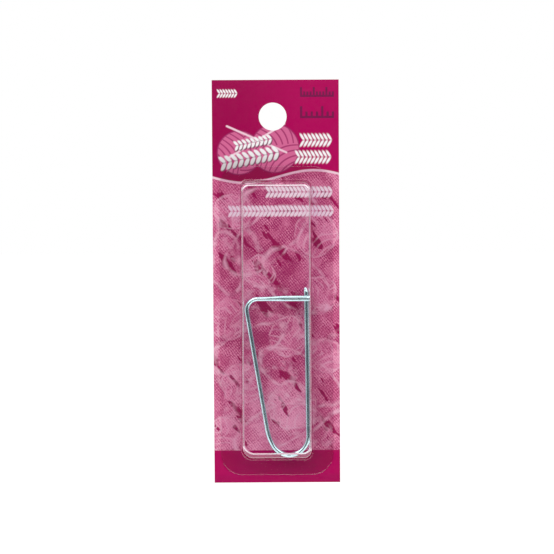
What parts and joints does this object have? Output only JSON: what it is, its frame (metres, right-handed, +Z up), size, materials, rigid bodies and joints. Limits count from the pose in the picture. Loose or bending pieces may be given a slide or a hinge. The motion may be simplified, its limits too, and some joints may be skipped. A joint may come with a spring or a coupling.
{
  "type": "carded stitch holder",
  "caption": "Bent-wire stitch holder with a sprung pin and flattened catch, loose in a clear blister sealed on a printed hang card with a round hang hole.",
  "frame": {"origin": "centre of the hang hole on the card's printed face", "axes": "-Y points out of the printed face, +Z up along the card's height, +X to the right as the pack is looked at"},
  "size_m": [0.036, 0.0065, 0.115],
  "materials": {
    "printed_board": "magenta print under a thin gloss varnish, grey board on the back",
    "clear_sheet": "clear, glossy thermoformed sheet",
    "plated_wire": "bright nickel plate on spring steel"
  },
  "bodies": {
    "card": {"backing_card": "printed_board"},
    "blister": {"blister": "clear_sheet"},
    "holder_frame": {"catch_hook": "plated_wire", "cross_bar": "plated_wire", "shoulder_bend": "plated_wire", "spine": "plated_wire", "lower_bend": "plated_wire", "spring_loop": "plated_wire"},
    "pin": {"pin_leg": "plated_wire", "pin_tip": "plated_wire"}
  },
  "joints": [
    {"name": "blister_peel", "type": "hinge", "parent": "card", "child": "blister", "pos_m": [0.00077, -0.0003, -0.014], "axis": [-1, 0, 0], "range_deg": [0, 110]},
    {"name": "holder_slide", "type": "slide", "parent": "card", "child": "holder_frame", "axis": [0, 0, 1], "range_m": [0, 0.028]},
    {"name": "pin_squeeze", "type": "hinge", "parent": "holder_frame", "child": "pin", "pos_m": [0.00965, -0.00271, -0.09087], "axis": [0, -1, 0], "range_deg": [0, 7.5], "stiffness_Nm_per_rad": 0.6, "springref_deg": -2.29}
  ]
}
